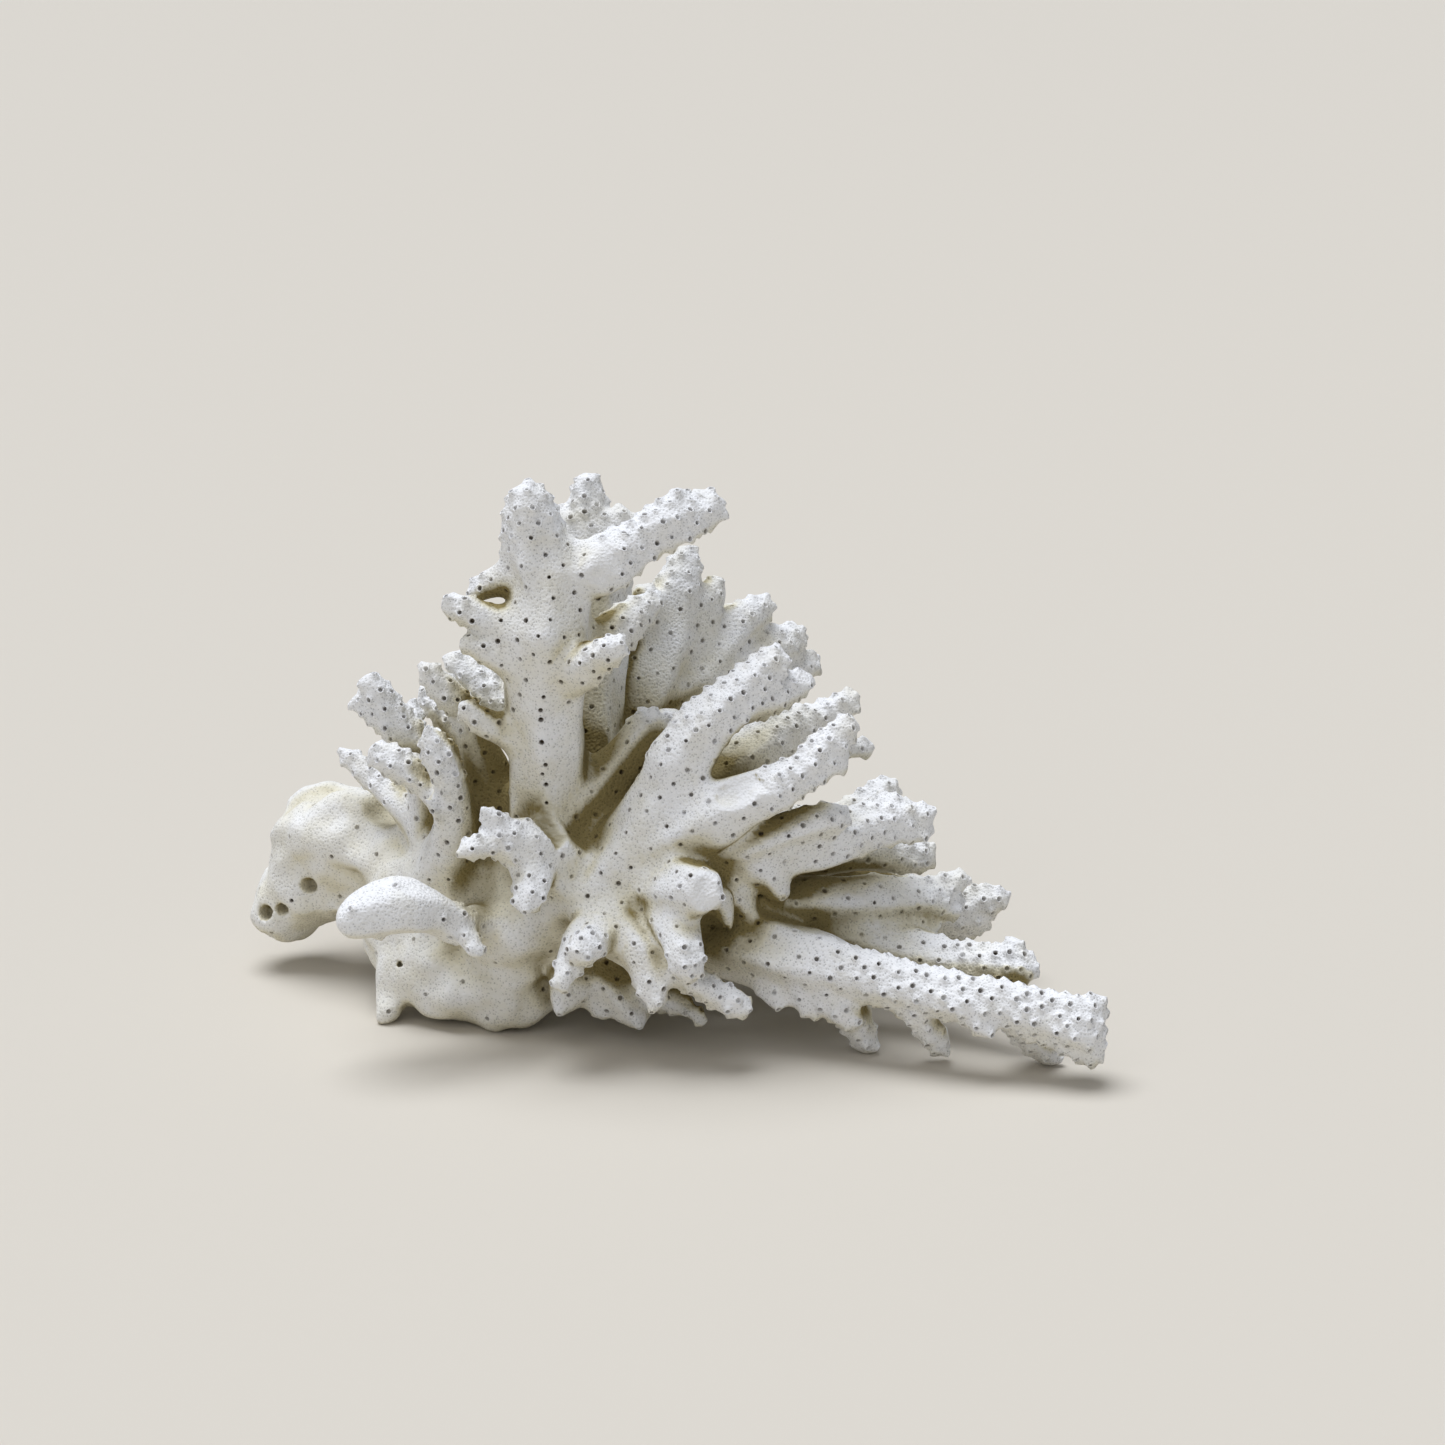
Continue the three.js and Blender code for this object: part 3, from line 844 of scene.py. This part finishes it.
def branch_piece(name, points, triangles, normals, layers, material):
    """One visible branch, with its ends closed and its shading taken from the whole coral."""
    used, own = np.unique(triangles, return_inverse=True)
    own = own.reshape(-1, 3)
    places, faces = close_ends(points[used], normals[used], own)
    added = len(places) - len(used)
    mesh = bpy.data.meshes.new(name)
    mesh.from_pydata(places.tolist(), [], faces.tolist())
    for layer, values in layers.items():
        attribute = mesh.attributes.new(layer, "FLOAT", "POINT")
        attribute.data.foreach_set("value", np.append(values[used], np.zeros(added)))
    mesh.polygons.foreach_set("use_smooth", np.ones(len(faces), bool))
    mesh.materials.append(material)
    mesh.update()
    ends = np.tile((0.0, 0.0, 1.0), (added, 1))
    mesh.normals_split_custom_set_from_vertices(np.concatenate((normals[used], ends)).tolist())
    piece = bpy.data.objects.new(name, mesh)
    bpy.context.scene.collection.objects.link(piece)
    return piece


class CORAL_OT_grow_branches(bpy.types.Operator):
    """Grow the coral over its frame and part it into its branches"""

    bl_idname = "coral.grow_branches"
    bl_label = "Grow Branches"

    def execute(self, context):
        scene = context.scene
        slots = {part["node"]: part["material_slot"] for part in frame["record"]["subparts"]}
        growth = Growth(frame["nodes"], slots, scene.coral_form)
        points, triangles = main_body(*growth.skin())
        points[:, 2] = points[:, 2].clip(0)
        owners = growth.lattice.sample(growth.owner, points[triangles].mean(1))
        owners = one_patch_each(triangles, owners)
        cups = Cups(points, triangles, owners, growth, scene.coral_cups)
        seeds = trunk_row(points, cups.normals)
        points, triangles, owners, pit_dirt_and_shade, near = cups.build(seeds)
        normals = point_normals(points, triangles)
        cream = growth.lattice.sample(growth.cream, cups.points)
        # Painted shade: recesses closed in by other limbs darken towards greenish brown, less on the
        # old base.
        hidden = smooth_share(cups.enclosed, *RECESS_SHADE_CROWDING) * (1 - AGED_SHARE * cups.aged)
        # Painted shade: surfaces that face down darken towards greenish brown.
        under = smooth_share(-cups.normals[:, 2], 0.1, 0.9)
        stain_and_shade = (
            STAIN_START + TIP_CLEAN_AND_LIT * cups.tip + STAIN_CREAM * cream + STAIN_AGED * cups.aged
            + hidden + UNDERSIDE_SHADE * under
        )
        fresh = (1 - smooth_share(cups.broken, *FRESH_EDGE))[near]
        layers = {"stain_and_shade": stain_and_shade[near], "pit_dirt_and_shade": pit_dirt_and_shade, "fresh": fresh}
        materials = {
            slot: coral_material(title, scene.coral_colours, grain) for slot, title, grain in FINISHES
        }
        for number, name in enumerate(growth.names):
            own = triangles[owners == number]
            if not len(own):
                raise RuntimeError(f"no surface was left for {name}")
            piece = branch_piece(
                f"{name}_skin", points, own, normals, layers, materials[slots[name]])
            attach(piece, "root")
            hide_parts(name)
        return {"FINISHED"}


def sun_light(name, direction, strength, angle, hex_colour):
    light = bpy.data.lights.new(name, "SUN")
    light.energy = strength
    light.angle = math.radians(angle)
    light.color = linear(hex_colour)[:3]
    lamp = bpy.data.objects.new(name, light)
    lamp.rotation_euler = Vector(direction).to_track_quat("-Z", "Y").to_euler()
    bpy.context.scene.collection.objects.link(lamp)


class CORAL_OT_set_stage(bpy.types.Operator):
    """Lay a pale floor, light it softly and place the camera"""

    bl_idname = "coral.set_stage"
    bl_label = "Set Stage"

    def execute(self, context):
        scene = context.scene
        half = FLOOR_HALF
        mesh = bpy.data.meshes.new("floor")
        mesh.from_pydata(
            [(-half, -half, 0), (half, -half, 0), (half, half, 0), (-half, half, 0)], [],
            [(0, 1, 2, 3)])
        floor = bpy.data.objects.new("floor", mesh)
        material = bpy.data.materials.new("Matt pale floor")
        material.use_nodes = True
        shader = material.node_tree.nodes["Principled BSDF"]
        shader.inputs["Base Color"].default_value = scene.coral_colours.floor
        shader.inputs["Roughness"].default_value = 0.9
        mesh.materials.append(material)
        scene.collection.objects.link(floor)
        world = bpy.data.worlds.new("Soft room")
        world.use_nodes = True
        sky = world.node_tree.nodes["Background"]
        sky.inputs["Color"].default_value = linear(ROOM_COLOUR)
        sky.inputs["Strength"].default_value = ROOM_STRENGTH
        scene.world = world
        for lamp in LAMPS:
            sun_light(*lamp)
        lens = bpy.data.cameras.new("photo_view")
        lens.sensor_width = CAMERA_SENSOR
        lens.lens = CAMERA_LENS
        lens.clip_start = 0.01
        camera = bpy.data.objects.new("photo_view", lens)
        camera.location = CAMERA_PLACE
        camera.rotation_euler = (CAMERA_TILT, 0, 0)
        scene.collection.objects.link(camera)
        scene.camera = camera
        scene.view_settings.view_transform = "Standard"
        return {"FINISHED"}


class CORAL_PT_sidebar(bpy.types.Panel):
    """Sizes and steps of the coral"""

    bl_label = "Branching Coral"
    bl_idname = "CORAL_PT_sidebar"
    bl_space_type = "VIEW_3D"
    bl_region_type = "UI"
    bl_category = "Coral"

    def draw(self, context):
        for group in (context.scene.coral_form, context.scene.coral_cups, context.scene.coral_colours):
            for name in group.__annotations__:
                self.layout.prop(group, name)
        self.layout.operator(CORAL_OT_grow_branches.bl_idname)
        self.layout.operator(CORAL_OT_set_stage.bl_idname)


CLASSES = (
    CoralForm,
    CoralCups,
    CoralColours,
    CORAL_OT_grow_branches,
    CORAL_OT_set_stage,
    CORAL_PT_sidebar,
)


def register():
    for cls in CLASSES:
        bpy.utils.register_class(cls)
    bpy.types.Scene.coral_form = PointerProperty(type=CoralForm)
    bpy.types.Scene.coral_cups = PointerProperty(type=CoralCups)
    bpy.types.Scene.coral_colours = PointerProperty(type=CoralColours)


def unregister():
    del bpy.types.Scene.coral_colours
    del bpy.types.Scene.coral_cups
    del bpy.types.Scene.coral_form
    for cls in reversed(CLASSES):
        bpy.utils.unregister_class(cls)


def main():
    register()
    bpy.ops.coral.grow_branches()
    bpy.ops.coral.set_stage()


if __name__ == "__main__":
    main()
